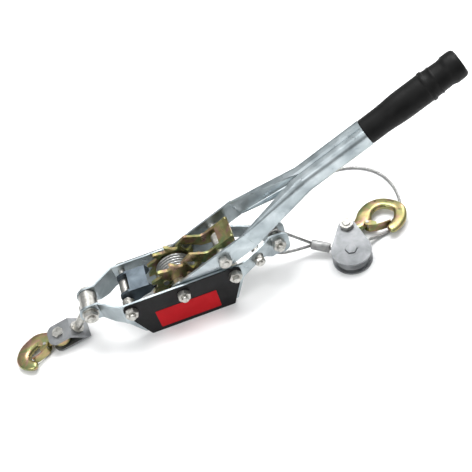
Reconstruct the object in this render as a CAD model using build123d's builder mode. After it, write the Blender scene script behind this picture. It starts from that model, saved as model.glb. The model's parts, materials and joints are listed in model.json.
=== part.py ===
"""Come along winch (hand power puller): a ratchet drum between two joggled plates,
a double-acting handle with a rubber grip, a swivel hook in front and a wire rope
that runs round a loose pulley block with a second hook.

Millimetres. X runs along the frame (front hook at -X), Y across it, Z up.
Shapes are laid out from a point on the floor under the drum axle; SHIFT moves
every piece to the object's own origin when it is written."""

from build123d import *
import os
from math import acos, atan2, cos, degrees, radians, sin, sqrt, tan

os.makedirs("parts", exist_ok=True)

# ---- driving dimensions ----
SHIFT = (-86.29, 6.4, 0)          # from the drum-centred layout to the object's origin

AXLE_Z = 60                 # height of the drum axle
CROSS_X = 76                # half the spacing of the two cross bolts
CROSS_Z = 62
PLATE = 3                   # side plate thickness
PLATE_Y = 38                # middle of the side plate, at the drum
FRONT_Y = 16.5              # middle of the side plate, at the front bolt
REAR_Y = 11.5               # middle of the side plate, at the rope anchor
TOP_Z = 75                  # top edge of the side plates
COVER = 1.5                 # guard plate thickness
FRONT_BOLT = (-132, 61)
REAR_BOLT = (149, 61)
GUIDE_BOLT = (115, 60)

DRUM_HALF = 14.5            # inside of the ratchet wheels
RATCHET = 5                 # ratchet wheel thickness
TEETH = 12
TOOTH_START = 68            # steep face of the first tooth, degrees
TIP_R = 40
ROOT_R = 32

ROPE = 4.5                  # wire rope diameter
COIL_R = 28                 # outside of the rope wound on the drum

HANDLE_TILT = 24.2          # degrees above the frame
ARM_Y = 32.5                # inside of the handle arms
ARM = 3
ARM_HALF = 16
FORK_END = 118              # where the arms start to close
JOIN = 225                  # where the two halves meet
GRIP_START = 327
GRIP_END = 473
GRIP_CORE = 140             # length of the halves inside the grip
PAWL_T = 76                 # drive pawl bolt, along the handle
RIVET_T = (240, 305)        # rivets through the closed part

STUD_DIR = Vector(-0.64, 0, -0.768).normalized()
SWIVEL_TURN = -6            # bracket, turned about the swivel stud
BRACKET_PITCH = 8
BRACKET_GAP = 16
BRACKET_HALF = 16.5
WEB_AT = 54.5               # middle of the bracket web, along the stud

SHEAVE = (244.8, -37.8)
BLOCK_BOLT = (254.9, 5.8)
SHEAVE_ROPE_R = 20          # middle of the rope round the sheave
BLOCK_Z = 11                # middle height of the pulley block
REAR_HOOK_TURN = 3.3        # degrees, seen from above


# ---- helpers ----
def save(piece, name):
    """Move a piece to the object's origin, name it and write it."""
    moved = Pos(*SHIFT) * piece
    moved.label = name
    export_step(moved, f"parts/{name}.step")


def side(y):
    """A plane that looks along the frame from the near side, at depth y."""
    return Plane.XZ.offset(-y)


def rounded(plane, corners):
    """A face whose corners are (x, y, radius)."""
    with BuildSketch(plane) as face:
        with BuildLine():
            Polyline([(x, y) for x, y, radius in corners], close=True)
        make_face()
        for x, y, radius in corners:
            if radius:
                near = face.vertices().sort_by_distance((x, y, 0))[0]
                fillet(near, radius)
    return face.sketch


def rod(x, z, y0, y1, radius, bore=0):
    """A bar or a sleeve that runs across the frame."""
    with BuildPart() as bar:
        with BuildSketch(side(y1)):
            with Locations((x, z)):
                Circle(radius)
                if bore:
                    Circle(bore, mode=Mode.SUBTRACT)
        extrude(amount=y1 - y0)
    return bar.part


def post(x, y, z0, z1, radius, bore=0):
    """An upright bar or sleeve."""
    with BuildPart() as bar:
        with BuildSketch(Plane.XY.offset(z0)):
            with Locations((x, y)):
                Circle(radius)
                if bore:
                    Circle(bore, mode=Mode.SUBTRACT)
        extrude(amount=z1 - z0)
    return bar.part


def hexagon(plane, flats, height, bore=0, turn=0):
    """A nut or bolt head with bevelled corners, standing on the plane."""
    corner = flats / sqrt(3)
    with BuildPart(plane) as nut:
        Cylinder(corner, height, align=(Align.CENTER, Align.CENTER, Align.MIN))
        chamfer(nut.edges().filter_by(GeomType.CIRCLE), corner - flats / 2)
        with BuildSketch(plane):
            RegularPolygon(flats / 2, 6, major_radius=False, rotation=turn)
        extrude(amount=height, mode=Mode.INTERSECT)
        if bore:
            with BuildSketch(plane):
                Circle(bore)
            extrude(amount=height, mode=Mode.SUBTRACT)
    return nut.part


def near_nut(x, z, y, flats, height, bore, turn=0):
    """A nut on the near side, its inner face at depth y."""
    return hexagon(Plane(origin=(x, y, z), x_dir=(1, 0, 0), z_dir=(0, -1, 0)),
                   flats, height, bore, turn)


def far_nut(x, z, y, flats, height, bore, turn=0):
    """A nut or head on the far side, its inner face at depth y."""
    return hexagon(Plane(origin=(x, y, z), x_dir=(1, 0, 0), z_dir=(0, 1, 0)),
                   flats, height, bore, turn)


def bolt(x, z, y_end, y_head, radius, flats, head):
    """A bolt from the far side: its head stands on y_head, its end is at y_end."""
    with BuildPart() as body:
        add(rod(x, z, y_end, y_head, radius))
        chamfer(body.edges().filter_by(GeomType.CIRCLE).sort_by(Axis.Y)[0], 0.8)
        add(far_nut(x, z, y_head, flats, head, 0))
    return body.part


# ---- side plates, guards and label ----
def plan_line(offset, sign):
    """The joggled line of a side plate in plan, moved outwards by offset."""
    front = tan(atan2(PLATE_Y - FRONT_Y, 30) / 2) * offset
    rear = tan(atan2(PLATE_Y - REAR_Y, 50) / 2) * offset
    line = [(-160, FRONT_Y + offset), (-118 - front, FRONT_Y + offset),
            (-88 - front, PLATE_Y + offset), (90 + rear, PLATE_Y + offset),
            (140 + rear, REAR_Y + offset), (180, REAR_Y + offset)]
    return [(x, sign * y) for x, y in line]


def side_plate(sign):
    """One pressed side plate: joggled in at both ends."""
    band = plan_line(PLATE / 2, sign) + plan_line(-PLATE / 2, sign)[::-1]
    outline = rounded(side(60), [
        (-147, TOP_Z + 0.5, 14), (-147, 46, 13), (-121, 45, 5), (-104, 38.5, 10), (-88, 40, 8),
        (-70, 8, 4), (70, 8, 4), (88, 51, 8), (124, 53, 8), (137, 38, 8), (165, 38, 12),
        (165, 77, 12), (137, 77, 10), (128, TOP_Z, 0)])
    with BuildPart() as plate:
        with BuildSketch(Plane.XY):
            with BuildLine():
                Polyline(band, close=True)
            make_face()
        extrude(amount=90)
        extrude(outline, amount=120, mode=Mode.INTERSECT)
        for x, z, radius in ((0, AXLE_Z, 5), (-CROSS_X, CROSS_Z, 5), (CROSS_X, CROSS_Z, 5),
                             (*FRONT_BOLT, 6), (*REAR_BOLT, 5), (*GUIDE_BOLT, 4)):
            with BuildSketch(side(60)):
                with Locations((x, z)):
                    Circle(radius)
            extrude(amount=120, mode=Mode.SUBTRACT)
    return plate.part


COVER_SHAPE = [(-63, 0, 3), (63, 0, 3), (84.5, 55, 4), (86, 64, 4), (86, TOP_Z, 10),
               (-86, TOP_Z, 10), (-86, 64, 4), (-84.5, 55, 4)]


def cover(sign):
    """The sheet guard outside a side plate; it is also the foot the winch stands on."""
    outer = PLATE_Y + PLATE / 2 + COVER
    y_far = outer if sign > 0 else -outer + COVER
    with BuildPart() as guard:
        extrude(rounded(side(y_far), COVER_SHAPE), amount=COVER)
        with BuildSketch(side(y_far)):
            with Locations((0, AXLE_Z), (-CROSS_X, CROSS_Z), (CROSS_X, CROSS_Z)):
                Circle(5)
        extrude(amount=COVER, mode=Mode.SUBTRACT)
    return guard.part


def label():
    """The blank label on the near guard."""
    with BuildPart() as sticker:
        extrude(rounded(side(-41), [(-46.6, 7.2, 1.5), (43.7, 7.2, 1.5), (43.7, 43.5, 1.5),
                                    (-46.6, 43.5, 1.5)]), amount=0.4)
    return sticker.part


# ---- axle, cross bolts, sleeves ----
def drum_axle():
    """The stepped axle: thick between the plates, threaded ends outside."""
    with BuildPart() as axle:
        add(rod(0, AXLE_Z, -36.5, 36.5, 8))
        add(rod(0, AXLE_Z, -54, 54, 5))
        chamfer(axle.edges().filter_by(GeomType.CIRCLE).sort_by(Axis.Y)[0], 0.8)
        chamfer(axle.edges().filter_by(GeomType.CIRCLE).sort_by(Axis.Y)[-1], 0.8)
    return axle.part


def frame_nuts():
    """Near nuts of the axle and the cross bolts, and the axle's far nut."""
    with BuildPart() as nuts:
        add(near_nut(-CROSS_X, CROSS_Z, -41, 17, 8, 5, 8))
        add(near_nut(0, AXLE_Z, -41, 17, 8, 5, 20))
        add(near_nut(CROSS_X, CROSS_Z, -41, 17, 8, 5, 3))
        add(far_nut(0, AXLE_Z, 41, 17, 8, 5))
    return nuts.part


def anchor_nuts():
    """Nuts of the front bolt, the rope anchor bolt and the rope guide bolt."""
    with BuildPart() as nuts:
        add(near_nut(*FRONT_BOLT, -20, 19, 8, 6, 12))
        add(near_nut(*REAR_BOLT, -14, 17, 8, 5, 5))
        add(near_nut(*GUIDE_BOLT, -31.5, 13, 5, 4, 0))
    return nuts.part


def frame_washers():
    """Flat washers at both ends, and the bevelled washers of the rope guide bolt."""
    with BuildPart() as washers:
        add(rod(*FRONT_BOLT, -20, -18, 12, 6))
        add(rod(*REAR_BOLT, -14, -13, 9, 5))
        add(rod(*GUIDE_BOLT, -31.5, -15, 7.5, 4))
        add(rod(*GUIDE_BOLT, 15, 31.5, 7.5, 4))
        with BuildSketch(Plane.XY):
            with BuildLine():
                Polyline(plan_line(PLATE / 2, -1)[3:5] + plan_line(PLATE / 2, 1)[4:2:-1],
                         close=True)
            make_face()
        extrude(amount=90, mode=Mode.SUBTRACT)
    return washers.part


def guide_sleeve():
    """The spacer round the rope guide bolt, cut to the slant of the plates."""
    with BuildPart() as sleeve:
        add(rod(*GUIDE_BOLT, -35, 35, 6, 4))
        with BuildSketch(Plane.XY):
            with BuildLine():
                Polyline(plan_line(-PLATE / 2, -1)[3:5] + plan_line(-PLATE / 2, 1)[4:2:-1],
                         close=True)
            make_face()
        extrude(amount=90, mode=Mode.INTERSECT)
    return sleeve.part


def drum_spacers():
    """Sleeves on the axle between the ratchet wheels and the handle arms."""
    with BuildPart() as sleeves:
        add(rod(0, AXLE_Z, -32.2, -19.8, 12, 8))
        add(rod(0, AXLE_Z, 19.8, 32.2, 12, 8))
        add(rod(0, AXLE_Z, -36.5, -35.8, 13, 8))
        add(rod(0, AXLE_Z, 35.8, 36.5, 13, 8))
    return sleeves.part


# ---- drum ----
def ratchet(y0):
    """One ratchet wheel: twelve hooked teeth, three rivets, pressed on the core."""
    points = []
    for tooth in range(TEETH):
        face = TOOTH_START - 30 * tooth
        for radius, angle in ((ROOT_R, face), (TIP_R, face), (TIP_R, face - 3),
                              (36.5, face - 10), (ROOT_R, face - 20)):
            points.append((radius * cos(radians(angle)), radius * sin(radians(angle)) + AXLE_Z))
    with BuildPart() as wheel:
        with BuildSketch(side(y0 + RATCHET)):
            with BuildLine():
                Polyline(points, close=True)
            make_face()
            with Locations((0, AXLE_Z)):
                Circle(12, mode=Mode.SUBTRACT)
                with PolarLocations(20, 3, start_angle=30):
                    Circle(2.5, mode=Mode.SUBTRACT)
        extrude(amount=RATCHET)
    return wheel.part


def drum_rivets():
    """Rivets that tie the ratchet wheels, with low round heads outside."""
    outer = DRUM_HALF + RATCHET
    with BuildPart() as rivets:
        for turn in (30, 150, 270):
            x = 20 * cos(radians(turn))
            z = 20 * sin(radians(turn)) + AXLE_Z
            for sign in (-1, 1):
                low = min(sign * DRUM_HALF, sign * (outer + 1.5))
                high = max(sign * DRUM_HALF, sign * (outer + 1.5))
                add(rod(x, z, low, high, 2.5))
                flat = min(sign * outer, sign * (outer + 1.5))
                add(rod(x, z, flat, flat + 1.5, 4))
    return rivets.part


def rope_winding():
    """The rope wound on the drum, as one solid ring with a ridge for each turn."""
    with BuildPart() as coil:
        with BuildSketch(Plane.XY.offset(AXLE_Z)):
            with Locations(((12 + COIL_R - ROPE / 2) / 2, 0)):
                Rectangle(COIL_R - ROPE / 2 - 12, 2 * DRUM_HALF - 0.4)
            for turn in range(6):
                with Locations((COIL_R - ROPE / 2, (turn - 2.5) * 4.83)):
                    Circle(ROPE / 2)
        revolve(axis=Axis((0, 0, AXLE_Z), (0, 1, 0)))
    return coil.part


# ---- handle ----
H = Vector(cos(radians(HANDLE_TILT)), 0, sin(radians(HANDLE_TILT)))
HANDLE = Plane(origin=(0, 0, AXLE_Z), x_dir=H, z_dir=(0, -1, 0))


def across(t):
    """A plane square to the handle at length t; its x is Y and its y is up."""
    return Plane(origin=Vector(0, 0, AXLE_Z) + H * t, x_dir=(0, 1, 0), z_dir=H)


def half_section(t, outer, inner, half, corner, sign):
    """A D-shaped face of one handle half."""
    return rounded(across(t), [(sign * inner, -half, 0), (sign * outer, -half, corner),
                               (sign * outer, half, corner), (sign * inner, half, 0)])


def handle_half(sign):
    """One pressed half of the handle: a flat arm that grows into half a tube."""
    low = ARM_Y if sign < 0 else -ARM_Y - ARM
    with BuildPart() as half:
        with BuildSketch(HANDLE.offset(low)):
            Circle(18)
            with Locations((FORK_END / 2 + 2, 0)):
                Rectangle(FORK_END + 4, 2 * ARM_HALF)
            Circle(8.05, mode=Mode.SUBTRACT)
            with Locations((PAWL_T, 0)):
                Circle(5, mode=Mode.SUBTRACT)
        extrude(amount=ARM)
        loft([half_section(FORK_END, ARM_Y + ARM, ARM_Y, ARM_HALF, 1, sign).face(),
              half_section(JOIN, 18, 0, 14, 9, sign).face()])
        extrude(half_section(JOIN, 18, 0, 14, 9, sign), amount=GRIP_START - JOIN)
        extrude(half_section(GRIP_START, 13.2, 0, 12, 8, sign), amount=GRIP_CORE)
        loft([half_section(FORK_END, ARM_Y + 0.6, ARM_Y - 3, ARM_HALF - 2.5, 0.5, sign).face(),
              half_section(JOIN, 15.5, -3, 11.5, 6.5, sign).face()], mode=Mode.SUBTRACT)
        extrude(half_section(JOIN, 15.5, -3, 11.5, 6.5, sign), amount=GRIP_START - JOIN - 3,
                mode=Mode.SUBTRACT)
        with BuildSketch(across(JOIN - 12)):
            with BuildLine():
                Polyline([(-4.5, 14.6), (0, 12.2), (4.5, 14.6)], close=True)
            make_face()
        extrude(amount=GRIP_START - JOIN + 12, mode=Mode.SUBTRACT)
        for t in RIVET_T:
            with BuildSketch(HANDLE.offset(-20)):
                with Locations((t, 0)):
                    Circle(3)
            extrude(amount=40, mode=Mode.SUBTRACT)
    return half.part


def handle_rivets():
    """Rivets through the two halves near the join."""
    with BuildPart() as rivets:
        for t in RIVET_T:
            spot = Vector(0, 0, AXLE_Z) + H * t
            add(rod(spot.X, spot.Z, -18, 18, 3))
            add(rod(spot.X, spot.Z, -19.6, -18, 5))
            add(rod(spot.X, spot.Z, 18, 19.6, 5))
    return rivets.part


def grip():
    """The moulded rubber grip."""
    long = GRIP_END - GRIP_START
    profile = [(0, 0), (0, 17.4), (1.2, 18.2), (26, 18.2), (44, 19.4), (56, 19.9), (92, 20.1),
               (93.5, 21.2), (98.5, 21.2), (100, 19.6), (108, 19.4), (109.5, 18.8), (123, 18.5),
               (128, 20), (long - 6, 19.9), (long - 1.5, 18.4), (long, 16), (long, 0)]
    with BuildPart() as rubber:
        with BuildSketch(Plane(origin=Vector(0, 0, AXLE_Z) + H * GRIP_START, x_dir=H,
                               z_dir=(0, -1, 0))):
            with BuildLine():
                Polyline(profile, close=True)
            make_face()
        revolve(axis=Axis(Vector(0, 0, AXLE_Z) + H * GRIP_START, H))
        for sign in (-1, 1):
            extrude(half_section(GRIP_START, 13.2, 0, 12, 8, sign), amount=GRIP_CORE,
                    mode=Mode.SUBTRACT)
    return rubber.part


PAWL = Vector(0, 0, AXLE_Z) + H * PAWL_T


def pawl_bolt():
    """The bolt that carries the drive pawl between the handle arms."""
    return bolt(PAWL.X, PAWL.Z, -45, 35.5, 5, 17, 6.4)


def pawl_sleeves():
    """Sleeves that centre the drive pawl between the arms."""
    with BuildPart() as sleeves:
        add(rod(PAWL.X, PAWL.Z, -32.5, -19.4, 8, 5))
        add(rod(PAWL.X, PAWL.Z, 19.4, 32.5, 8, 5))
    return sleeves.part


def drive_pawl():
    """The U-shaped drive pawl: two hooked flanges, a web and a bridge behind the bolt."""
    shape = [(11.16, 95.2, 0), (13.46, 94.36, 0), (14.9, 97.9, 0), (27.5, 91.8, 4),
             (46, 80, 5), (62, 79, 5), (80, 83, 4), (92, 84, 3), (92, 117, 3), (84, 112, 3),
             (50, 97, 12), (27, 107.5, 4)]
    with BuildPart() as pawl:
        extrude(rounded(side(19), shape), amount=4)
        extrude(rounded(side(-15), shape), amount=4)
        with BuildSketch(side(15)):
            with Locations((90, 99)):
                Rectangle(4, 28)
            with BuildLine():
                Polyline([(70, 102.4), (84, 108.6), (91.9, 113.2), (90.8, 115.6), (84, 111.6),
                          (70, 105.5)], close=True)
            make_face()
        extrude(amount=30)
        with BuildSketch(side(20)):
            with Locations((PAWL.X, PAWL.Z)):
                Circle(5.05)
        extrude(amount=40, mode=Mode.SUBTRACT)
    return pawl.part


def coil_spring(x, z, y0, y1, radius, wire):
    """A torsion spring on a bolt that runs across the frame."""
    path = Edge.make_helix(wire * 1.12, y1 - y0, radius, center=(x, y0, z), normal=(0, 1, 0))
    with BuildPart() as spring:
        with BuildSketch(Plane(origin=path @ 0, z_dir=path % 0)):
            Circle(wire / 2)
        sweep(path=path, is_frenet=True)
    return spring.part


# ---- stop pawl ----
def stop_pawl():
    """The U-shaped stop pawl on the front cross bolt."""
    shape = [(-84, 62, 6), (-80, 53, 5), (-66, 53, 5), (-52, 59, 3), (-42.2, 62, 0),
             (-36.6, 67.6, 0), (-35.9, 69.6, 0), (-38.9, 73.4, 0), (-41, 78, 1),
             (-71, 79, 4), (-84, 74, 6)]
    with BuildPart() as pawl:
        extrude(rounded(side(19), shape), amount=4)
        extrude(rounded(side(-15), shape), amount=4)
        with BuildSketch(side(15)):
            with BuildLine():
                Polyline([(-68, 78.9), (-68, 75.9), (-44, 75.1), (-41.6, 77.9)], close=True)
            make_face()
        extrude(amount=30)
        with BuildSketch(side(20)):
            with Locations((-CROSS_X, CROSS_Z)):
                Circle(5.05)
        extrude(amount=40, mode=Mode.SUBTRACT)
    return pawl.part


# ---- swivel stud, bracket and front hook ----
STUD_TOP = Vector(FRONT_BOLT[0], 0, FRONT_BOLT[1])
STUD = Plane(origin=STUD_TOP, x_dir=(0, 1, 0), z_dir=STUD_DIR)


def turned_about_stud(vector):
    return vector.rotate(Axis((0, 0, 0), STUD_DIR), SWIVEL_TURN)


BRACKET_F = turned_about_stud(Vector(-cos(radians(BRACKET_PITCH)), 0, -sin(radians(BRACKET_PITCH))))
BRACKET_N = turned_about_stud(Vector(-sin(radians(BRACKET_PITCH)), 0, cos(radians(BRACKET_PITCH))))
PIN_TOP = Vector(-193, -1, 28.2)
PIN_MID = PIN_TOP - BRACKET_N * (6 + BRACKET_GAP / 2)
BRACKET = Plane(origin=PIN_MID, x_dir=BRACKET_F, z_dir=BRACKET_N)
HOOK_F = Vector(-0.9945, 0, -0.1045)
HOOK_N = Vector(-0.1045, 0, 0.9945)
FRONT_EYE = PIN_MID + Vector(0, -1.2, -0.2)
FRONT_HOOK = Plane(origin=FRONT_EYE, x_dir=HOOK_F, z_dir=HOOK_N)


def swivel_stud():
    """The eye on the front bolt, its shank and the head inside the bracket."""
    with BuildPart() as stud:
        add(rod(*FRONT_BOLT, -14.4, 14.4, 13))
        with BuildSketch(STUD.offset(8)):
            Circle(6)
        extrude(amount=WEB_AT - 4)
        with BuildSketch(STUD.offset(WEB_AT + 2.7)):
            Circle(7.4)
        extrude(amount=2.4)
        with BuildSketch(STUD.offset(12)):
            Circle(10.5)
        extrude(amount=9, taper=24)
        with BuildSketch(STUD.offset(WEB_AT - 5.2)):
            Circle(10)
        extrude(amount=2.4)
        with BuildSketch(side(20)):
            with Locations(FRONT_BOLT):
                Circle(6.05)
        extrude(amount=40, mode=Mode.SUBTRACT)
    return stud.part


def front_bracket():
    """The bent strap that turns on the stud and holds the front hook's pin."""
    back = BRACKET.to_local_coords(STUD_TOP + STUD_DIR * WEB_AT)
    lean = BRACKET.to_local_coords(STUD_TOP + STUD_DIR * WEB_AT + Vector(-0.768, 0, 0.64)) - back
    reach = BRACKET_GAP / 2 + 3
    slant = lean.X / lean.Z
    inner = BRACKET_GAP / 2
    with BuildPart() as strap:
        with BuildSketch(Plane(origin=BRACKET.from_local_coords((0, -BRACKET_HALF, 0)),
                               x_dir=BRACKET_F, z_dir=BRACKET.y_dir * -1)):
            with BuildLine():
                Polyline([(back.X + slant * (reach - back.Z) - 3.2, reach), (BRACKET_HALF, reach),
                          (BRACKET_HALF, inner),
                          (back.X + slant * (inner - back.Z) + 3.2, inner),
                          (back.X - slant * (inner + back.Z) + 3.2, -inner),
                          (BRACKET_HALF, -inner), (BRACKET_HALF, -reach),
                          (back.X - slant * (reach + back.Z) - 3.2, -reach)], close=True)
            make_face()
        extrude(amount=-2 * BRACKET_HALF)
        corners = [edge for edge in strap.edges() if abs((edge % 0).dot(BRACKET_N)) > 0.999
                   and BRACKET.to_local_coords(edge @ 0.5).X > BRACKET_HALF - 1]
        fillet(corners, 11)
    return strap.part


def bracket_pin():
    """The hex-headed pin of the front hook."""
    with BuildPart() as pin:
        with BuildSketch(BRACKET.offset(-BRACKET_GAP / 2 - 3)):
            Circle(6)
        extrude(amount=BRACKET_GAP + 6)
        add(hexagon(BRACKET.offset(BRACKET_GAP / 2 + 3), 15, 4, 0, 10))
    return pin.part


def hook(plane, reach, out_r, bowl, bowl_r, gap, neck, eye_r, bore, thick):
    """A forged eye hook; x of the plane runs from the eye to the bowl."""
    far = 60
    with BuildPart() as body:
        with BuildSketch(plane.offset(-thick / 2)):
            with Locations((reach, 0)):
                Circle(out_r)
            with Locations(bowl):
                Circle(bowl_r, mode=Mode.SUBTRACT)
            with BuildLine():
                Polyline([bowl,
                          (bowl[0] + far * cos(radians(gap[0])), bowl[1] + far * sin(radians(gap[0]))),
                          (bowl[0] + far * cos(radians(gap[1])), bowl[1] + far * sin(radians(gap[1])))],
                         close=True)
            make_face(mode=Mode.SUBTRACT)
            with BuildLine():
                Polyline(neck, close=True)
            make_face()
            Circle(eye_r)
            Circle(bore, mode=Mode.SUBTRACT)
        extrude(amount=thick)
    return body.part


def latch(plane, pivot, length, thick):
    """A pressed spring latch: two ears beside the hook and a tongue across its throat."""
    px, py = pivot
    gap = thick / 2 + 0.35
    ear = [(px - 5, py - 4, 2), (px + 3, py - 5, 2), (px + length * 0.72, py + 2.6, 1),
           (px + length * 0.72, py + 6, 0), (px - 3, py + 6, 2)]
    with BuildPart() as gate:
        for z in (gap, -gap - 1.3):
            extrude(rounded(plane.offset(z), ear), amount=1.3)
        with BuildSketch(plane.offset(-gap - 1.3)):
            with Locations((px + length * 0.66, py + 5.2)):
                Rectangle(length * 0.12, 1.6)
        extrude(amount=2 * gap + 2.6)
        with BuildSketch(plane.offset(-4)):
            with Locations((px + length * 0.8, py + 5.2)):
                Rectangle(length * 0.4, 1.6)
        extrude(amount=8)
        with BuildSketch(plane.offset(-thick)):
            with Locations(pivot):
                Circle(1.55)
        extrude(amount=2 * thick, mode=Mode.SUBTRACT)
    return gate.part


def latch_pin(plane, pivot, thick):
    """The rivet the latch turns on."""
    reach = thick / 2 + 1.8
    with BuildPart() as pin:
        with BuildSketch(plane.offset(-reach)):
            with Locations(pivot):
                Circle(1.5)
        extrude(amount=2 * reach)
        with BuildSketch(plane.offset(reach)):
            with Locations(pivot):
                Circle(2.4)
        extrude(amount=0.9)
        with BuildSketch(plane.offset(-reach - 0.9)):
            with Locations(pivot):
                Circle(2.4)
        extrude(amount=0.9)
    return pin.part


def drilled(body, plane, spot, radius, thick):
    """The body with a hole through it."""
    with BuildPart() as result:
        add(body)
        with BuildSketch(plane.offset(-thick)):
            with Locations(spot):
                Circle(radius)
        extrude(amount=2 * thick, mode=Mode.SUBTRACT)
    return result.part


def eased(body, plane, tip, amount):
    """The body with its tip corners and the edges of both flat faces rounded."""
    upright = []
    for x, y in tip:
        spot = plane.from_local_coords((x, y, 0))
        upright.append(body.edges().filter_by(GeomType.LINE).sort_by_distance(spot)[0])
    with BuildPart() as result:
        add(body.fillet(5, upright))
        for sign in (-1, 1):
            face = result.faces().sort_by(Axis(plane.origin, plane.z_dir))[-1 if sign > 0 else 0]
            fillet(face.outer_wire().edges(), amount)
    return result.part


# ---- pulley block and rear hook ----
TURN = radians(REAR_HOOK_TURN)
REAR_HOOK = Plane(origin=(*BLOCK_BOLT, BLOCK_Z + 0.3), x_dir=(cos(TURN), sin(TURN), 0),
                  z_dir=(0, 0, -1))


def block_cheek(z0):
    """One teardrop cheek of the pulley block."""
    with BuildPart() as cheek:
        with BuildSketch(Plane.XY.offset(z0)):
            with Locations(SHEAVE):
                Circle(29)
            with Locations(BLOCK_BOLT):
                Circle(13)
            make_hull()
            with Locations(SHEAVE):
                Circle(6, mode=Mode.SUBTRACT)
            with Locations(BLOCK_BOLT):
                Circle(6, mode=Mode.SUBTRACT)
        extrude(amount=3)
    return cheek.part


def sheave():
    """The grooved wheel of the block."""
    with BuildPart() as wheel:
        with BuildSketch(Plane(origin=(*SHEAVE, BLOCK_Z), x_dir=(1, 0, 0), z_dir=(0, -1, 0))):
            with BuildLine():
                Polyline((19.5, 2.4), (25, 5.8), (25, 7.7), (6.05, 7.7), (6.05, -7.7),
                         (25, -7.7), (25, -5.8), (19.5, -2.4))
                ThreePointArc((19.5, -2.4), (17.5, 0), (19.5, 2.4))
            make_face()
        revolve(axis=Axis((*SHEAVE, 0), (0, 0, 1)))
    return wheel.part


def sheave_pin():
    """The riveted pin of the sheave."""
    with BuildPart() as pin:
        add(post(*SHEAVE, 0.4, 22, 6))
        add(post(*SHEAVE, 22, 24, 9))
        chamfer(pin.edges().filter_by(GeomType.CIRCLE).sort_by(Axis.Z)[-1], 1)
    return pin.part


def block_bolt():
    """The bolt that joins the block to the rear hook."""
    with BuildPart() as stem:
        add(post(*BLOCK_BOLT, 0.4, 31, 6))
        chamfer(stem.edges().filter_by(GeomType.CIRCLE).sort_by(Axis.Z)[-1], 0.8)
    return stem.part


def block_nut():
    return hexagon(Plane.XY.offset(22).move(Pos(*BLOCK_BOLT, 0)), 19, 7, 6, 15)


# ---- wire rope ----
def rope_run(points, radii):
    """Edges of straight runs joined by tangent arcs."""
    edges = []
    start = Vector(*points[0])
    for i in range(1, len(points) - 1):
        here = Vector(*points[i])
        back = (Vector(*points[i - 1]) - here).normalized()
        ahead = (Vector(*points[i + 1]) - here).normalized()
        half = (180 - degrees(acos(max(-1, min(1, back.dot(ahead)))))) / 2
        cut = radii[i - 1] * tan(radians(half))
        first = here + back * cut
        last = here + ahead * cut
        middle = here + (back + ahead).normalized() * (radii[i - 1] / cos(radians(half)) - radii[i - 1])
        edges.append(Edge.make_line(start, first))
        edges.append(Edge.make_three_point_arc(first, middle, last))
        start = last
    edges.append(Edge.make_line(start, Vector(*points[-1])))
    return edges


def bend_radii(points, share=0.45):
    """A radius for each corner: a share of its shorter run."""
    radii = []
    for i in range(1, len(points) - 1):
        here = Vector(*points[i])
        back = Vector(*points[i - 1]) - here
        ahead = Vector(*points[i + 1]) - here
        turn = 180 - degrees(acos(back.normalized().dot(ahead.normalized())))
        radii.append(share * min(back.length, ahead.length) / tan(radians(turn / 2)))
    return radii


FERRULE_FROM = Vector(196.5, 0, 17.3)
ROPE_TURN_IN = (SHEAVE[0] - SHEAVE_ROPE_R, -17.7, BLOCK_Z)
FERRULE_DIR = (Vector(*ROPE_TURN_IN) - FERRULE_FROM).normalized()
FERRULE_TO = FERRULE_FROM + FERRULE_DIR * 24
LEAVE = (272, -22, BLOCK_Z)     # corner where the rope leaves the block

FLOOR = ROPE / 2 + 0.05
LOOP = [LEAVE, (294, -18.5, FLOOR), (316, -15, FLOOR), (335, 3, FLOOR), (350, 33, FLOOR),
        (353, 73, FLOOR), (342, 108, FLOOR), (316, 132, FLOOR), (286, 141, FLOOR),
        (256, 141.5, FLOOR), (222, 133, FLOOR), (190, 115, FLOOR), (160, 90, FLOOR + 0.5),
        (136, 62, 9), (112, 28, 27), (78, 8, AXLE_Z - COIL_R + ROPE / 2),
        (16, 8, AXLE_Z - COIL_R + ROPE / 2)]


def free_rope():
    """The rope from its ferrule round the sheave, in a wide loop and to the drum."""
    rel = Vector(LEAVE[0] - SHEAVE[0], LEAVE[1] - SHEAVE[1], 0)
    away = atan2(rel.Y, rel.X) - acos(SHEAVE_ROPE_R / rel.length)
    middle = (3.14159265 + away + 2 * 3.14159265) / 2
    centre = Vector(*SHEAVE, BLOCK_Z)
    enter = centre + Vector(-SHEAVE_ROPE_R, 0, 0)
    wrap = centre + Vector(cos(middle), sin(middle), 0) * SHEAVE_ROPE_R
    leave = centre + Vector(cos(away), sin(away), 0) * SHEAVE_ROPE_R
    inward = [tuple(FERRULE_TO), ROPE_TURN_IN, tuple(enter)]
    outward = [tuple(leave)] + LOOP
    radii = bend_radii(outward)
    print("rope bends, mm:", [round(r, 1) for r in [16] + radii])
    edges = rope_run(inward, [16]) + [Edge.make_three_point_arc(enter, wrap, leave)]
    edges += rope_run(outward, radii)
    path = Wire(edges)
    with BuildPart() as tube:
        with BuildSketch(Plane(origin=path @ 0, z_dir=path % 0)):
            Circle(ROPE / 2)
        sweep(path=path)
    print("rope length, mm:", round(path.length, 1), "tube / section:",
          round(tube.part.volume / (3.14159265 * ROPE * ROPE / 4), 1))
    return tube.part


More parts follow.
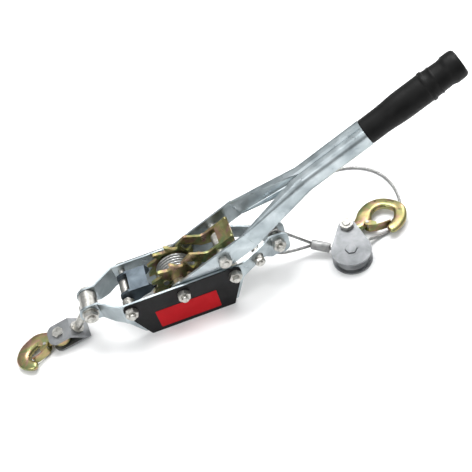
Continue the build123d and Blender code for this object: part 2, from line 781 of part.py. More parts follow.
def rope_eye():
    """The rope's dead end: a loop round the anchor sleeve, back to the ferrule."""
    ring = ROPE / 2 + 8
    start = FERRULE_FROM + Vector(0, 0, 2.5) + FERRULE_DIR
    end = FERRULE_FROM + Vector(0, 0, -2.5) + FERRULE_DIR
    rel = Vector(start.X - REAR_BOLT[0], start.Z - REAR_BOLT[1], 0)
    up = atan2(rel.Y, rel.X) + acos(ring / rel.length)
    mid = (up + 3.14159265) / 2
    centre = Vector(REAR_BOLT[0], 0, REAR_BOLT[1])
    touch = centre + Vector(cos(up), 0, sin(up)) * ring
    over = centre + Vector(cos(mid), 0, sin(mid)) * ring
    down = centre + Vector(-ring, 0, 0)
    start = Vector(start.X, 0, start.Z)
    lower = [tuple(down), (down.X, 0, 34), (152, 0, 17.5), (end.X, 0, end.Z)]
    edges = [Edge.make_line(start, touch), Edge.make_three_point_arc(touch, over, down)]
    edges += rope_run(lower, bend_radii(lower))
    path = Wire(edges)
    with BuildPart() as loop:
        with BuildSketch(Plane(origin=path @ 0, z_dir=path % 0)):
            Circle(ROPE / 2)
        sweep(path=path)
    return loop.part


def ferrule():
    """The pressed oval sleeve that closes the eye."""
    with BuildPart() as sleeve:
        with BuildSketch(Plane(origin=FERRULE_FROM, x_dir=(0, 0, 1), z_dir=FERRULE_DIR)):
            SlotOverall(12.5, 8)
        extrude(amount=24)
        fillet(sleeve.edges().group_by(Axis(FERRULE_FROM, FERRULE_DIR))[-1], 1.2)
        fillet(sleeve.edges().group_by(Axis(FERRULE_FROM, FERRULE_DIR))[0], 1.2)
    return sleeve.part


# ---- write every piece ----
save(side_plate(-1), "side_plate_near")
save(side_plate(1), "side_plate_far")
save(cover(-1), "cover_near")
save(cover(1), "cover_far")
save(label(), "label")
save(drum_axle(), "drum_axle")
save(bolt(-CROSS_X, CROSS_Z, -54, 41, 5, 17, 6.4), "front_cross_bolt")
save(bolt(CROSS_X, CROSS_Z, -54, 41, 5, 17, 6.4), "rear_cross_bolt")
save(bolt(*FRONT_BOLT, -31, 18, 6, 19, 7.5), "front_anchor_bolt")
save(bolt(*REAR_BOLT, -28, 13, 5, 17, 6.4), "rear_anchor_bolt")
save(bolt(*GUIDE_BOLT, -39, 31.5, 4, 13, 5.3), "rope_guide_bolt")
save(frame_nuts(), "frame_nuts")
save(anchor_nuts(), "anchor_nuts")
save(frame_washers(), "frame_washers")
save(drum_spacers(), "drum_spacers")
save(rod(CROSS_X, CROSS_Z, -36.5, 36.5, 8, 5), "rear_cross_sleeve")
save(rod(-CROSS_X, CROSS_Z, -14.7, 14.7, 8, 5), "stop_pawl_sleeve")
save(guide_sleeve(), "rope_guide_sleeve")
save(rod(*REAR_BOLT, -10, 10, 7.9, 5), "rope_anchor_sleeve")

save(rod(0, AXLE_Z, -DRUM_HALF - RATCHET, DRUM_HALF + RATCHET, 12, 8.05), "drum_core")
save(rope_winding(), "rope_winding")
save(ratchet(-DRUM_HALF - RATCHET), "ratchet_near")
save(ratchet(DRUM_HALF), "ratchet_far")
save(drum_rivets(), "drum_rivets")

save(handle_half(-1), "handle_half_near")
save(handle_half(1), "handle_half_far")
save(handle_rivets(), "handle_rivets")
save(grip(), "grip")
save(pawl_bolt(), "drive_pawl_bolt")
save(near_nut(PAWL.X, PAWL.Z, -35.5, 17, 8, 5, 14), "drive_pawl_nut")
save(pawl_sleeves(), "drive_pawl_sleeves")
save(drive_pawl(), "drive_pawl")
save(coil_spring(PAWL.X, PAWL.Z, -12, 12, 7.5, 2), "drive_pawl_spring")

save(stop_pawl(), "stop_pawl")
save(coil_spring(-CROSS_X, CROSS_Z, -32, -22, 8, 2.2), "stop_pawl_spring")

save(swivel_stud(), "swivel_stud")
strap = drilled(front_bracket(), STUD.offset(WEB_AT), (0, 0), 6.05, 4)
strap = drilled(strap, BRACKET, (0, 0), 6, 12)
save(strap, "front_bracket")
save(bracket_pin(), "bracket_pin")

FRONT_NECK = [(0, 12.5), (20, 12), (32.2, 7), (30, -8), (22, -17), (0, -12.5)]
FRONT_PIVOT = (24.5, 4.8)
forged = hook(FRONT_HOOK, 45, 29.5, (43.5, 1.5), 11.5, (78, 170), FRONT_NECK, 14, 8.5, 11)
forged = eased(forged, FRONT_HOOK, [(49.4, 29.2), (45.9, 12.7)], 3.5)
save(drilled(forged, FRONT_HOOK, FRONT_PIVOT, 1.5, 11), "front_hook")
save(latch(FRONT_HOOK, FRONT_PIVOT, 23, 11), "front_latch")
save(latch_pin(FRONT_HOOK, FRONT_PIVOT, 11), "front_latch_pin")

save(block_cheek(0), "block_cheek_lower")
save(block_cheek(19), "block_cheek_upper")
save(sheave(), "sheave")
save(sheave_pin(), "sheave_pin")
save(block_bolt(), "block_bolt")
save(block_nut(), "block_nut")

REAR_NECK = [(0, 12.5), (26, 11.5), (45, 5), (44, -18), (34, -20), (20, -12), (0, -12.5)]
REAR_PIVOT = (30, 5)
forged = hook(REAR_HOOK, 62, 31.5, (57.5, 1), 13.5, (104, 166), REAR_NECK, 14, 6.05, 12)
forged = eased(forged, REAR_HOOK, [(50.4, 29.3), (54.2, 14.1)], 3.5)
save(drilled(forged, REAR_HOOK, REAR_PIVOT, 1.5, 12), "rear_hook")
save(latch(REAR_HOOK, REAR_PIVOT, 33, 12), "rear_latch")
save(latch_pin(REAR_HOOK, REAR_PIVOT, 12), "rear_latch_pin")

save(free_rope(), "free_rope")
save(rope_eye(), "rope_eye")
save(ferrule(), "ferrule")
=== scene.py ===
"""Come along winch: looks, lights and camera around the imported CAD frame.

Places are in millimetres in the winch's own layout, whose zero is the floor under
the drum axle: X along the frame, Y across it, Z up. at() turns them into metres in
the row frame."""

import json
import math

import bmesh
import bpy
from mathutils import Matrix, Vector


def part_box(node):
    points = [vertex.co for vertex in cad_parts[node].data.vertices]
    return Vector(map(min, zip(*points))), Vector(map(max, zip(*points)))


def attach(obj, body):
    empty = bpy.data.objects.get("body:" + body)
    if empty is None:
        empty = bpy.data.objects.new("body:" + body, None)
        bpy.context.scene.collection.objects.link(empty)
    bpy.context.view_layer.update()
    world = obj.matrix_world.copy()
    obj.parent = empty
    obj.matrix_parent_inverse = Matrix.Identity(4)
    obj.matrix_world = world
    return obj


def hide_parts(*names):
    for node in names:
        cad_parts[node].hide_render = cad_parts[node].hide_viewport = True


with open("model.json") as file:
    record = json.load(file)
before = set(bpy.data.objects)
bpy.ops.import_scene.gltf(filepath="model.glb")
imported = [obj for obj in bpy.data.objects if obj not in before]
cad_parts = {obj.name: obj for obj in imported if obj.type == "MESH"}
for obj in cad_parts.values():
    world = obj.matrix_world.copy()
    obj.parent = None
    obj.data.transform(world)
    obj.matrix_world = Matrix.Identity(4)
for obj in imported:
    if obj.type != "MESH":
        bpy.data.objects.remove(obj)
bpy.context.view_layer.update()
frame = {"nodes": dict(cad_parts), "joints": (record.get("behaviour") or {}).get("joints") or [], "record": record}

# ---- layout ----
AXLE_Z = 60
ROPE = 4.5                  # wire rope diameter
ROPE_STEP = 0.001           # metres between sections of a rope
COIL_R = 28                 # outside of the rope on the drum
SHEAVE = (244.8, -37.8)
SHEAVE_ROPE_R = 20          # centre line of the rope on the sheave
BLOCK_Z = 11                # height of the rope in the block
HANDLE_TILT = math.radians(24.2)
HANDLE_AHEAD = Vector((math.cos(HANDLE_TILT), 0, math.sin(HANDLE_TILT)))
GRIP_START = 327
RIVET_T = (240, 305)        # rivets along the handle, from the axle
FLOOR_Z = ROPE / 2 + 0.05   # centre line of a rope that lies on the floor

low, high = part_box("drum_axle")
ORIGIN = (Vector(low) + Vector(high)) / 2 - Vector((0, 0, AXLE_Z / 1000))
JOINT = {joint["name"]: joint for joint in frame["joints"]}
ALONG_Y = Vector((0, 1, 0))
UP = Vector((0, 0, 1))


def at(x, y, z):
    """A layout place, in metres in the row frame."""
    return ORIGIN + Vector((x, y, z)) / 1000


# ---- camera ----
VIEW_TURN = math.radians(-2.14)
VIEW_DOWN = math.radians(47.8)
VIEW_ROLL = math.radians(18.3)
VIEW_ANGLE = math.radians(32.83)
VIEW_PLACE = (67.6, -749.4, 917.0)
NEAR_CLIP = 0.05


def add_camera():
    """The camera: turned about the vertical, tipped down, then rolled."""
    level = Vector((math.cos(VIEW_TURN), math.sin(VIEW_TURN), 0))
    ahead = Vector((-math.sin(VIEW_TURN) * math.cos(VIEW_DOWN),
                    math.cos(VIEW_TURN) * math.cos(VIEW_DOWN), -math.sin(VIEW_DOWN)))
    above = level.cross(ahead)
    right = level * math.cos(VIEW_ROLL) - above * math.sin(VIEW_ROLL)
    up = level * math.sin(VIEW_ROLL) + above * math.cos(VIEW_ROLL)
    turn = Matrix((right, up, -ahead)).transposed()
    data = bpy.data.cameras.new("camera")
    data.sensor_fit = "HORIZONTAL"
    data.angle = VIEW_ANGLE
    data.clip_start = NEAR_CLIP
    camera = bpy.data.objects.new("camera", data)
    camera.matrix_world = Matrix.Translation(at(*VIEW_PLACE)) @ turn.to_4x4()
    bpy.context.collection.objects.link(camera)
    bpy.context.scene.camera = camera


add_camera()

# ---- material nodes ----
FINE = 0.0002               # height of a plated or printed surface's grain, metres
COARSE = 0.0003             # height of a painted or moulded surface's grain, metres


def new_material(name, metallic=0.0, specular=None):
    material = bpy.data.materials.new(name)
    material.use_nodes = True
    shader = material.node_tree.nodes["Principled BSDF"]
    shader.inputs["Metallic"].default_value = metallic
    if specular is not None:
        shader.inputs["Specular IOR Level"].default_value = specular
    return material, shader


def link(material, source, target):
    material.node_tree.links.new(source, target)


def noise(material, scale, detail, distortion=0.0):
    """Noise in the object's own metres; scale is features per metre."""
    place = material.node_tree.nodes.new("ShaderNodeTexCoord")
    grain = material.node_tree.nodes.new("ShaderNodeTexNoise")
    grain.inputs["Scale"].default_value = scale
    grain.inputs["Detail"].default_value = detail
    grain.inputs["Distortion"].default_value = distortion
    link(material, place.outputs["Object"], grain.inputs["Vector"])
    return grain.outputs["Fac"]


def fill_band(band, stops):
    """Sets a ramp's stops: (position, (r, g, b))."""
    while len(band.elements) < len(stops):
        band.elements.new(0.5)
    for element, (position, colour) in zip(band.elements, stops):
        element.position = position
        element.color = (*colour, 1)


def ramp(material, source, stops):
    """A colour from noise; stops are (position, (r, g, b))."""
    made = material.node_tree.nodes.new("ShaderNodeValToRGB")
    fill_band(made.color_ramp, stops)
    link(material, source, made.inputs["Fac"])
    return made.outputs["Color"]


def spread(material, source, least, most):
    """A number between least and most from noise, whose bulk lies in 0.3 to 0.7."""
    made = material.node_tree.nodes.new("ShaderNodeMapRange")
    made.inputs["From Min"].default_value = 0.3
    made.inputs["From Max"].default_value = 0.7
    made.inputs["To Min"].default_value = least
    made.inputs["To Max"].default_value = most
    link(material, source, made.inputs["Value"])
    return made.outputs["Result"]


def mixed(material, first, second, factor):
    """A mix of two colours."""
    made = material.node_tree.nodes.new("ShaderNodeMix")
    made.data_type = "RGBA"
    link(material, factor, made.inputs["Factor"])
    # inputs 6 and 7 and output 2 are the colour sockets of this node
    link(material, first, made.inputs[6])
    link(material, second, made.inputs[7])
    return made.outputs[2]


def bump(material, shader, source, strength, height):
    made = material.node_tree.nodes.new("ShaderNodeBump")
    made.inputs["Strength"].default_value = strength
    made.inputs["Distance"].default_value = height
    link(material, source, made.inputs["Height"])
    link(material, made.outputs["Normal"], shader.inputs["Normal"])


def plated(name, stops, patch, roughness, grain=900, strength=0.12):
    """Plated steel: cloudy colour, uneven gloss and a fine grain."""
    material, shader = new_material(name, metallic=1.0)
    link(material, ramp(material, noise(material, patch, 5, 0.6), stops),
         shader.inputs["Base Color"])
    link(material, spread(material, noise(material, patch * 2.3, 6), *roughness),
         shader.inputs["Roughness"])
    bump(material, shader, noise(material, grain, 3), strength, FINE)
    return material


def yellow_plate():
    """Yellow zinc: gold that drifts to olive, copper pink and green."""
    material, shader = new_material("yellow_zinc", metallic=1.0)
    gold = ramp(material, noise(material, 26, 3, 1.2),
                [(0.30, (0.12, 0.12, 0.05)), (0.44, (0.25, 0.22, 0.09)),
                 (0.56, (0.40, 0.34, 0.15)), (0.72, (0.36, 0.20, 0.14))])
    tint = ramp(material, noise(material, 41, 2, 2.0),
                [(0.36, (0.50, 0.25, 0.25)), (0.48, (0.39, 0.33, 0.15)),
                 (0.64, (0.20, 0.31, 0.15))])
    cloud = spread(material, noise(material, 19, 2), 0.2, 0.8)
    link(material, mixed(material, gold, tint, cloud), shader.inputs["Base Color"])
    link(material, spread(material, noise(material, 90, 5), 0.24, 0.42),
         shader.inputs["Roughness"])
    bump(material, shader, noise(material, 700, 4), 0.15, FINE)
    return material


def coated(name, specular, colour, gloss, grain):
    """Paint, film or rubber. colour is (scale, detail, stops), gloss is (scale, detail,
    least, most) of roughness, grain is (scale, detail, strength, height)."""
    material, shader = new_material(name, specular=specular)
    scale, detail, stops = colour
    link(material, ramp(material, noise(material, scale, detail), stops),
         shader.inputs["Base Color"])
    scale, detail, least, most = gloss
    link(material, spread(material, noise(material, scale, detail), least, most),
         shader.inputs["Roughness"])
    scale, detail, strength, height = grain
    bump(material, shader, noise(material, scale, detail), strength, height)
    return material


blue_zinc = plated("blue_zinc", [(0.3, (0.28, 0.32, 0.34)), (0.5, (0.39, 0.44, 0.46)),
                                 (0.72, (0.52, 0.57, 0.59))], 34, (0.26, 0.42))
bright_zinc = plated("bright_zinc", [(0.3, (0.30, 0.295, 0.27)), (0.55, (0.49, 0.48, 0.45)),
                                     (0.8, (0.64, 0.63, 0.60))], 170, (0.28, 0.48))
grey_zinc = plated("grey_zinc", [(0.3, (0.19, 0.197, 0.205)), (0.7, (0.30, 0.307, 0.315))],
                   60, (0.38, 0.56), grain=1400, strength=0.25)
dull_zinc = plated("dull_blue_zinc", [(0.3, (0.05, 0.062, 0.075)),
                                      (0.7, (0.15, 0.18, 0.205))], 40, (0.40, 0.58))
rope_steel = plated("rope_steel", [(0.3, (0.18, 0.18, 0.18)), (0.7, (0.38, 0.38, 0.37))],
                    240, (0.34, 0.50), grain=2600, strength=0.15)
ferrule_alloy = plated("ferrule_alloy", [(0.3, (0.24, 0.24, 0.24)),
                                         (0.7, (0.38, 0.38, 0.375))], 120, (0.42, 0.58))
yellow_zinc = yellow_plate()
black_paint = coated("black_paint", 0.16,
                     (60, 6, [(0.35, (0.0035, 0.0035, 0.004)), (0.8, (0.010, 0.010, 0.011))]),
                     (45, 5, 0.36, 0.52), (420, 2, 0.10, COARSE))
red_label = coated("red_label", 0.08,
                   (30, 4, [(0.3, (0.38, 0.004, 0.008)), (0.75, (0.48, 0.008, 0.014))]),
                   (80, 4, 0.38, 0.5), (260, 2, 0.05, FINE))
black_rubber = coated("black_rubber", 0.14,
                      (50, 4, [(0.3, (0.003, 0.003, 0.003)), (0.8, (0.008, 0.008, 0.008))]),
                      (140, 4, 0.42, 0.60), (1100, 3, 0.35, COARSE))

FINISH = {"blue_zinc": blue_zinc, "bright_zinc": bright_zinc, "yellow_zinc": yellow_zinc,
          "grey_zinc": grey_zinc, "dull_blue_zinc": dull_zinc, "black_paint": black_paint,
          "red_label": red_label, "black_rubber": black_rubber, "rope_steel": rope_steel,
          "ferrule_alloy": ferrule_alloy}
for part in frame["record"]["subparts"]:
    cad = frame["nodes"][part["node"]]
    cad.data.materials.clear()
    cad.data.materials.append(FINISH[part["material_slot"]])


# ---- mesh pieces ----
def mesh_object(name, mesh, material):
    """A smooth-shaded object in the scene."""
    mesh.polygons.foreach_set("use_smooth", [True] * len(mesh.polygons))
    made = bpy.data.objects.new(name, mesh)
    bpy.context.collection.objects.link(made)
    made.data.materials.append(material)
    return made


def from_faces(name, vertices, faces, material):
    mesh = bpy.data.meshes.new(name)
    mesh.from_pydata([tuple(v) for v in vertices], [], faces)
    mesh.update()
    return mesh_object(name, mesh, material)


def circle(sides):
    """Cosine and sine of evenly spaced angles round a circle."""
    angles = [2 * math.pi * k / sides for k in range(sides)]
    return [(math.cos(angle), math.sin(angle)) for angle in angles]


def squared(c, s, power):
    """Reach of a rounded square at the angle with this cosine and sine."""
    return (abs(c) ** power + abs(s) ** power) ** (-1 / power)


def skin(rings, sides):
    """Faces of a capped tube whose vertices come ring by ring."""
    faces = []
    for i in range(rings - 1):
        for k in range(sides):
            a = i * sides + k
            b = i * sides + (k + 1) % sides
            faces.append((a, b, b + sides, a + sides))
    faces.append(tuple(range(sides))[::-1])
    faces.append(tuple(range((rings - 1) * sides, rings * sides)))
    return faces


def around(line, i):
    """The places before and after place i of a line; the ends stand for themselves."""
    return line[max(i - 1, 0)], line[min(i + 1, len(line) - 1)]


def spline_points(name, route):
    """Points along one smooth NURBS spline whose control points are the route."""
    data = bpy.data.curves.new(name, "CURVE")
    data.dimensions = "3D"
    spline = data.splines.new("NURBS")
    spline.points.add(len(route) - 1)
    for point, place in zip(spline.points, route):
        point.co = (*at(*place), 1)
    spline.use_endpoint_u = True
    spline.order_u = 3
    spline.resolution_u = 40
    curve = bpy.data.objects.new(name + "_line", data)
    bpy.context.collection.objects.link(curve)
    bpy.context.view_layer.update()
    line = bpy.data.meshes.new_from_object(curve)
    points = [v.co.copy() for v in line.vertices]
    bpy.data.meshes.remove(line)
    bpy.data.objects.remove(curve)
    bpy.data.curves.remove(data)
    return points


def evenly(points, step):
    """The same line with points one step apart."""
    out = [points[0]]
    left = step
    for a, b in zip(points, points[1:]):
        span = (b - a).length
        done = 0.0
        while span - done >= left:
            done += left
            out.append(a.lerp(b, done / span))
            left = step
        left -= span - done
    if (out[-1] - points[-1]).length > step * 0.3:
        out.append(points[-1])
    return out


def wire_rope(name, line):
    """A six-strand rope along a line: a lobed section that turns as it goes."""
    strands = 6
    lay = 0.030             # metres of rope in which a strand goes once round
    sides = 30
    radius = ROPE / 2000
    vertices = []
    side = None
    travelled = 0.0
    for i, point in enumerate(line):
        before, after = around(line, i)
        ahead = (after - before).normalized()
        if side is None:
            side = ahead.orthogonal().normalized()
        side = (side - ahead * side.dot(ahead)).normalized()
        up = ahead.cross(side)
        if i:
            travelled += (point - line[i - 1]).length
        twist = 2 * math.pi * travelled / lay
        for k in range(sides):
            angle = 2 * math.pi * k / sides
            lobe = abs(math.cos(strands / 2 * (angle - twist)))
            reach = radius * (0.80 + 0.20 * lobe ** 0.7)
            vertices.append(point + (side * math.cos(angle) + up * math.sin(angle)) * reach)
    return from_faces(name, vertices, skin(len(line), sides), rope_steel)


def lathe(name, centre, axis, profile, material, sides=96, sharp=35):
    """A turned piece: profile holds (place along the axis, radius), in millimetres."""
    side = axis.orthogonal().normalized()
    up = axis.cross(side)
    vertices = [centre + (axis * along + (side * c + up * s) * radius) / 1000
                for along, radius in profile for c, s in circle(sides)]
    made = from_faces(name, vertices, skin(len(profile), sides), material)
    made.data.set_sharp_from_angle(angle=math.radians(sharp))
    return made


# ---- the wire rope ----
def sheave_corners(start, end, count):
    """Corners of the straight runs that wrap the sheave, from start to end degrees."""
    step = (end - start) / count
    reach = SHEAVE_ROPE_R / math.cos(math.radians(step / 2))
    corners = []
    for i in range(count):
        angle = math.radians(start + step * (i + 0.5))
        corners.append((SHEAVE[0] + reach * math.cos(angle),
                        SHEAVE[1] + reach * math.sin(angle), BLOCK_Z))
    return corners


FERRULE_FROM = Vector((196.5, 0, 17.3))
ROPE_TURN_IN = Vector((SHEAVE[0] - SHEAVE_ROPE_R, -17.7, BLOCK_Z))
FERRULE_AHEAD = (ROPE_TURN_IN - FERRULE_FROM).normalized()
ROPE_END = FERRULE_FROM + FERRULE_AHEAD * 24    # inside the pressed sleeve
DRUM_ROPE_Z = AXLE_Z - COIL_R + ROPE / 2
ROUTE = [(16, 8, DRUM_ROPE_Z), (78, 8, DRUM_ROPE_Z), (112, 28, 27), (136, 62, 9),
         (160, 90, FLOOR_Z + 0.5), (190, 115, FLOOR_Z), (222, 133, FLOOR_Z),
         (256, 141.5, FLOOR_Z), (286, 141, FLOOR_Z), (316, 132, FLOOR_Z), (342, 108, FLOOR_Z),
         (353, 73, FLOOR_Z), (350, 33, FLOOR_Z), (335, 3, FLOOR_Z), (316, -15, FLOOR_Z),
         (294, -18.5, FLOOR_Z), (272, -22, BLOCK_Z)]
ROUTE += sheave_corners(-20.5, -180, 3)
ROUTE += [tuple(ROPE_TURN_IN), tuple(ROPE_END)]

rope_line = evenly(spline_points("free_rope", ROUTE), ROPE_STEP)
rope = wire_rope("wire_rope", rope_line)
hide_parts("free_rope")
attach(rope, "frame")

EYE_ROUTE = [(196.5, 0, 20.2), (157.6, 0, 67.0), (148, 0, 75), (139.2, 0, 68), (138.6, 0, 34),
             (152, 0, 17.5), (196.5, 0, 14.6)]
eye = wire_rope("rope_eye_strands", evenly(spline_points("rope_eye", EYE_ROUTE), ROPE_STEP))
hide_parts("rope_eye")
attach(eye, "frame")


def pressed_ferrule():
    """The pressed sleeve: a flattened body with a pinched waist line on each side."""
    rows = [(0, 0.80), (0.5, 0.93), (1.6, 1.0), (26.4, 1.0), (27.5, 0.93), (28, 0.80)]
    half_height = 7.6
    half_width = 5.8
    sides = 64
    side = (UP - FERRULE_AHEAD * FERRULE_AHEAD.z).normalized()
    over = FERRULE_AHEAD.cross(side)
    vertices = []
    for along, grow in rows:
        spot = FERRULE_FROM + FERRULE_AHEAD * along
        for c, s in circle(sides):
            waist = 1 - 0.16 * math.exp(-(c / 0.16) ** 2)
            reach = squared(c, s, 3) * grow
            vertices.append(at(*(spot + (side * c * half_height
                                         + over * s * half_width * waist) * reach)))
    return from_faces("pressed_ferrule", vertices, skin(len(rows), sides), ferrule_alloy)


sleeve = pressed_ferrule()
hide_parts("ferrule")
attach(sleeve, "frame")


def winding():
    """Six turns of rope side by side on the drum, over an inner layer."""
    turns = 6
    pitch = 4.83
    squeeze = 0.965         # the outer turns lie a little closer than the inner ridges
    steps = 120
    half = 14.2             # half the wound width
    core = 12.5
    cuts = 96
    reach = COIL_R - ROPE / 2
    line = []
    for i in range(turns * steps + 1):
        angle = 2 * math.pi * i / steps
        y = (i / steps - turns / 2) * pitch * squeeze
        line.append(at(reach * math.cos(angle), y, AXLE_Z + reach * math.sin(angle)))
    outer = wire_rope("drum_rope", line)
    ridges = [(-half, core)]
    for i in range(cuts + 1):
        y = -half + 2 * half * i / cuts
        ridges.append((y, COIL_R - ROPE - 0.4 + 0.9 * abs(math.sin(math.pi * y / pitch))))
    ridges.append((half, core))
    inner = lathe("drum_rope_inner", at(0, 0, AXLE_Z), ALONG_Y, ridges, rope_steel)
    inner.parent = outer
    return outer


coil = winding()
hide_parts("rope_winding")
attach(coil, "drum")


# ---- hooks and latches ----
def smooth(rows, steps):
    """Catmull-Rom through rows of numbers."""
    out = []
    for i in range(len(rows) - 1):
        a, b, c, d = (rows[min(max(i + k, 0), len(rows) - 1)] for k in (-1, 0, 1, 2))
        for step in range(steps):
            t = step / steps
            out.append([0.5 * (2 * q + (r - p) * t + (2 * p - 5 * q + 4 * r - s) * t * t
                               + (3 * q - p - 3 * r + s) * t ** 3)
                        for p, q, r, s in zip(a, b, c, d)])
    out.append(list(rows[-1]))
    return out


class Flat:
    """A hook's own plane: u runs from the eye to the bowl, w is its thickness."""

    def __init__(self, origin, ahead, normal):
        self.origin = Vector(origin)
        self.u = Vector(ahead).normalized()
        self.w = Vector(normal).normalized()
        self.v = self.w.cross(self.u)

    def place(self, u, v, w):
        return self.origin + (self.u * u + self.v * v + self.w * w) / 1000


def run_at(line, i):
    """The direction of a line of (u, v, ...) rows at row i."""
    before, after = around(line, i)
    return Vector((after[0] - before[0], after[1] - before[1])).normalized()


def shank(flat, rows, sides):
    """Vertices of the hook's body, a rounded section swept along the rows."""
    vertices = []
    for i, (u, v, wide, thick) in enumerate(rows):
        run = run_at(rows, i)
        across = Vector((-run.y, run.x))
        for c, s in circle(sides):
            reach = squared(c, s, 2.7)
            side = c * reach * wide
            # one side of the section stands a little prouder than the other
            lift = s * reach * thick * (0.90 + 0.10 * c)
            vertices.append(flat.place(u + across.x * side, v + across.y * side, lift))
    return vertices


def eye_ring(flat, eye, turns, sides):
    """Vertices of the hook's eye, a ring with a rounded square section."""
    outside, bore, half = eye
    vertices = []
    for turn_c, turn_s in circle(turns):
        for c, s in circle(sides):
            reach = squared(c, s, 3.2)
            radius = (outside + bore) / 2 + c * reach * (outside - bore) / 2
            vertices.append(flat.place(radius * turn_c, radius * turn_s, s * reach * half))
    return vertices


def ring_skin(start, turns, sides):
    """Faces of a closed ring whose vertices begin at start."""
    faces = []
    for i in range(turns):
        here = start + i * sides
        there = start + (i + 1) % turns * sides
        for k in range(sides):
            faces.append((here + k, here + (k + 1) % sides, there + (k + 1) % sides, there + k))
    return faces


def forged(name, flat, path, eye):
    """A forged hook. Each row of path is (u, v, half width, half thickness); eye is
    (outside radius, bore radius, half thickness)."""
    sides = 40
    ring_turns = 72
    ring_sides = 24
    rows = smooth(path, 8)
    vertices = shank(flat, rows, sides)
    faces = skin(len(rows), sides) + ring_skin(len(vertices), ring_turns, ring_sides)
    vertices += eye_ring(flat, eye, ring_turns, ring_sides)
    made = from_faces(name, vertices, faces, yellow_zinc)
    work = bmesh.new()
    work.from_mesh(made.data)
    bmesh.ops.recalc_face_normals(work, faces=work.faces)
    work.to_mesh(made.data)
    work.free()
    return made


def slab(flat, outline, low_w, high_w):
    """A plate with bevelled edges in the hook's plane, as a bmesh."""
    bevel = 0.0004
    work = bmesh.new()
    lower = [work.verts.new(flat.place(u, v, low_w)) for u, v in outline]
    upper = [work.verts.new(flat.place(u, v, high_w)) for u, v in outline]
    work.faces.new(lower[::-1])
    work.faces.new(upper)
    for i in range(len(outline)):
        j = (i + 1) % len(outline)
        work.faces.new((lower[i], lower[j], upper[j], upper[i]))
    bmesh.ops.recalc_face_normals(work, faces=work.faces)
    bmesh.ops.bevel(work, geom=work.edges[:], offset=bevel, segments=2, affect="EDGES",
                    clamp_overlap=True)
    return work


def strip(line, thick):
    """The outline of a bent strip of sheet along a line of (u, v)."""
    near = []
    far = []
    for i, (u, v) in enumerate(line):
        run = run_at(line, i)
        near.append((u - run.y * thick / 2, v + run.x * thick / 2))
        far.append((u + run.y * thick / 2, v - run.x * thick / 2))
    return near + far[::-1]


def joined(name, works, material):
    """One object from several bmeshes."""
    mesh = bpy.data.meshes.new(name)
    whole = bmesh.new()
    for work in works:
        piece = bpy.data.meshes.new("piece")
        work.to_mesh(piece)
        work.free()
        whole.from_mesh(piece)
        bpy.data.meshes.remove(piece)
    whole.to_mesh(mesh)
    whole.free()
    made = mesh_object(name, mesh, material)
    mesh.set_sharp_from_angle(angle=math.radians(40))
    return made


def spring_latch(name, flat, ear, tongue, gap):
    """A sheet latch: an ear on each side of the hook and a tongue across the throat."""
    sheet = 1.3
    middle = [row[:2] for row in smooth(tongue, 6)]
    return joined(name, [slab(flat, ear, gap, gap + sheet),
                         slab(flat, ear, -gap - sheet, -gap),
                         slab(flat, strip(middle, 1.6), -gap - sheet, gap + sheet)],
                  yellow_zinc)


FRONT = Flat(JOINT["front_hook_turn"]["pos_m"], (-0.9945, 0, -0.1045), (-0.1045, 0, 0.9945))
FRONT_PATH = [(11, -0.5, 8.5, 5), (18, -4, 11, 5.3), (26, -7, 12.5, 5.6), (37.5, -11, 11.6, 6),
              (47.8, -7.6, 11.2, 6.3), (56.3, -1.7, 11.2, 6.4), (62, 8, 10.6, 6.3),
              (60.5, 18.4, 9.4, 6), (54, 25.6, 8, 5.5), (47.5, 29.5, 6.9, 5), (44, 30.6, 5.6, 4.2),
              (42.4, 30.9, 3.4, 2.6), (42, 31, 1.2, 1)]
front_hook = forged("front_hook_forging", FRONT, FRONT_PATH, (14, 8.4, 5.4))
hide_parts("front_hook")
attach(front_hook, "front_hook")
front_latch = spring_latch("front_latch_sheet", FRONT,
                           [(20, 1.5), (24, 0.5), (29, 3), (34, 11), (31, 16.5), (24, 13), (20, 8)],
                           [(23.5, 12.2), (30, 16), (38, 18.8), (46.5, 20.6)], 5.9)
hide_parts("front_latch")
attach(front_latch, "front_latch")

TURNED = math.radians(3.3)      # the rear hook as it lies, away from the frame's line
REAR = Flat(JOINT["rear_hook_turn"]["pos_m"], (math.cos(TURNED), math.sin(TURNED), 0), (0, 0, -1))
REAR_PATH = [(11, 0, 8, 5), (19, -1.5, 10.2, 5.4), (28.5, -7.5, 11.6, 5.8), (36, -17, 11, 6),
             (48, -24, 10, 6), (63, -24.6, 8.8, 6), (76.5, -15.6, 8.6, 6),
             (84, -1.5, 9, 6), (77.5, 15.2, 9.3, 5.9), (67, 23.8, 9, 5.6), (58.5, 27.3, 8.2, 5),
             (54.6, 28.2, 6.6, 4.2), (53, 28.5, 4, 2.6), (52.4, 28.6, 1.4, 1)]
rear_hook = forged("rear_hook_forging", REAR, REAR_PATH, (14, 6.1, 5.9))
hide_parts("rear_hook")
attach(rear_hook, "rear_hook")
rear_latch = spring_latch("rear_latch_sheet", REAR,
                          [(25.5, 1.5), (30, 0.5), (36, 4), (42, 11), (40, 15.5), (30, 12.5),
                           (25.5, 8)],
                          [(29.5, 11.6), (38, 15), (50, 17), (61.5, 17.6)], 6.35)
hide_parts("rear_latch")
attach(rear_latch, "rear_latch")


# ---- handle rivets, nearly flush ----
def rivet_heads():
    """Rivets through the closed part of the handle, with low heads on both faces."""
    half = [(15, 2.9), (15, 4.5), (17.6, 4.5), (18.2, 4.2), (18.4, 2.6), (18.45, 0.4)]
    profile = [(-along, radius) for along, radius in half[::-1]] + half
    made = [lathe("rivet_%d" % along, at(0, 0, AXLE_Z) + HANDLE_AHEAD * along / 1000, ALONG_Y,
                  profile, blue_zinc, sides=40) for along in RIVET_T]
    for other in made[1:]:
        other.parent = made[0]
    return made[0]


rivets = rivet_heads()
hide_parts("handle_rivets")
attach(rivets, "handle")

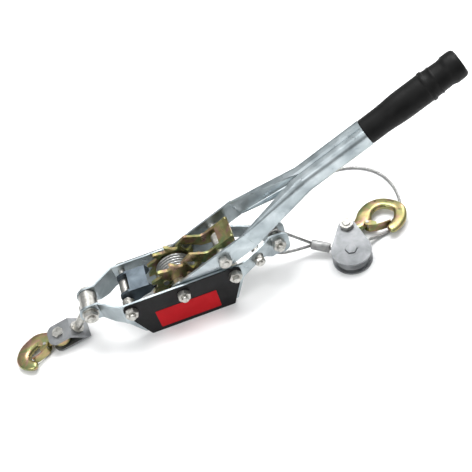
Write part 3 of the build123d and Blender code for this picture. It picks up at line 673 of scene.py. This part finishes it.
# ---- sheave pin, with a low six-sided head ----
PIN_PROFILE = [(0.4, 6), (21.9, 6), (21.9, 9), (23.5, 9), (24, 8.4)]
pin = lathe("sheave_pin_hex", at(*SHEAVE, 0), UP, PIN_PROFILE, grey_zinc, sides=6, sharp=20)
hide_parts("sheave_pin")
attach(pin, "frame")


# ---- grip ----
def moulded_grip():
    """The rubber grip: a swelling body, a raised ring, a fine rib and a flared end."""
    mouth = [(0, 13.5), (0, 17.2), (0.5, 17.9), (1.4, 18.2)]
    body = []
    for i in range(40):
        along = 2 + i * 2.3
        swell = min(max((along - 24) / 34, 0), 1)
        body.append((along, 18.2 + 1.8 * swell * swell * (3 - 2 * swell)))
    ring = [(93, 20.1), (93.7, 20.9), (94.8, 21.2), (97.4, 21.2), (98.6, 20.8), (99.4, 19.8)]
    rib = [(100.2, 19.5), (107, 19.3), (107.6, 19.9), (109, 19.9), (109.7, 19.2)]
    flare = [(111, 18.9), (122, 18.5), (124.5, 18.7), (126.6, 19.4), (128.3, 20.0),
             (131, 20.2), (139, 20.1), (142, 19.6), (144, 18.7), (145.4, 17.4), (146, 15.8)]
    end = [(146, 12), (145.2, 11.2), (145.2, 0.6)]
    start = at(0, 0, AXLE_Z) + HANDLE_AHEAD * GRIP_START / 1000
    return lathe("moulded_grip", start, HANDLE_AHEAD, mouth + body + ring + rib + flare + end,
                 black_rubber, sharp=60)


grip = moulded_grip()
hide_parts("grip")
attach(grip, "handle")

# ---- stage and light ----
FLOOR_HALF = 6.0            # metres
FLOOR_DROP = 0.0002         # metres below the part's zero
SKY_LEVELS = [(0.0, 0.46), (0.12, 0.38), (0.45, 0.50), (0.75, 1.0), (1.0, 1.15)]
SKY_STRENGTH = 0.8
# name, place, target, size, watts
LIGHTS = [("overhead", (0.3, 0.6, 1.9), (0, 0, 0), (1.6, 1.0), 46),
          ("left_front", (-1.5, -0.9, 1.3), (0, 0, 0), (0.7, 1.2), 14),
          ("right_back", (1.5, 1.1, 1.1), (0, 0, 0.1), (0.5, 1.0), 12)]


def add_stage():
    """A plain pale floor."""
    material, shader = new_material("floor", specular=0.2)
    shader.inputs["Base Color"].default_value = (0.90, 0.90, 0.90, 1)
    shader.inputs["Roughness"].default_value = 0.7
    corners = [(x * FLOOR_HALF, y * FLOOR_HALF, -FLOOR_DROP)
               for x, y in ((-1, -1), (1, -1), (1, 1), (-1, 1))]
    floor = from_faces("floor", corners, [(0, 1, 2, 3)], material)


def add_sky():
    """A studio sky that is bright above and dimmer towards the horizon and below."""
    world = bpy.data.worlds.new("studio")
    bpy.context.scene.world = world
    world.use_nodes = True
    tree = world.node_tree
    place = tree.nodes.new("ShaderNodeTexCoord")
    parts = tree.nodes.new("ShaderNodeSeparateXYZ")
    band = tree.nodes.new("ShaderNodeValToRGB")
    fill_band(band.color_ramp, [(position, (level * 0.97, level * 0.99, level))
                                for position, level in SKY_LEVELS])
    tree.links.new(place.outputs["Generated"], parts.inputs["Vector"])
    tree.links.new(parts.outputs["Z"], band.inputs["Fac"])
    tree.links.new(band.outputs["Color"], tree.nodes["Background"].inputs["Color"])
    tree.nodes["Background"].inputs["Strength"].default_value = SKY_STRENGTH


def add_light(name, place, target, size, power):
    """A soft rectangular light that faces its target."""
    data = bpy.data.lights.new(name, "AREA")
    data.shape = "RECTANGLE"
    data.size, data.size_y = size
    data.energy = power
    light = bpy.data.objects.new(name, data)
    light.location = place
    light.rotation_euler = (Vector(target) - Vector(place)).to_track_quat("-Z", "Y").to_euler()
    bpy.context.collection.objects.link(light)


add_stage()
add_sky()
for setup in LIGHTS:
    add_light(*setup)
bpy.context.scene.view_settings.view_transform = "Standard"
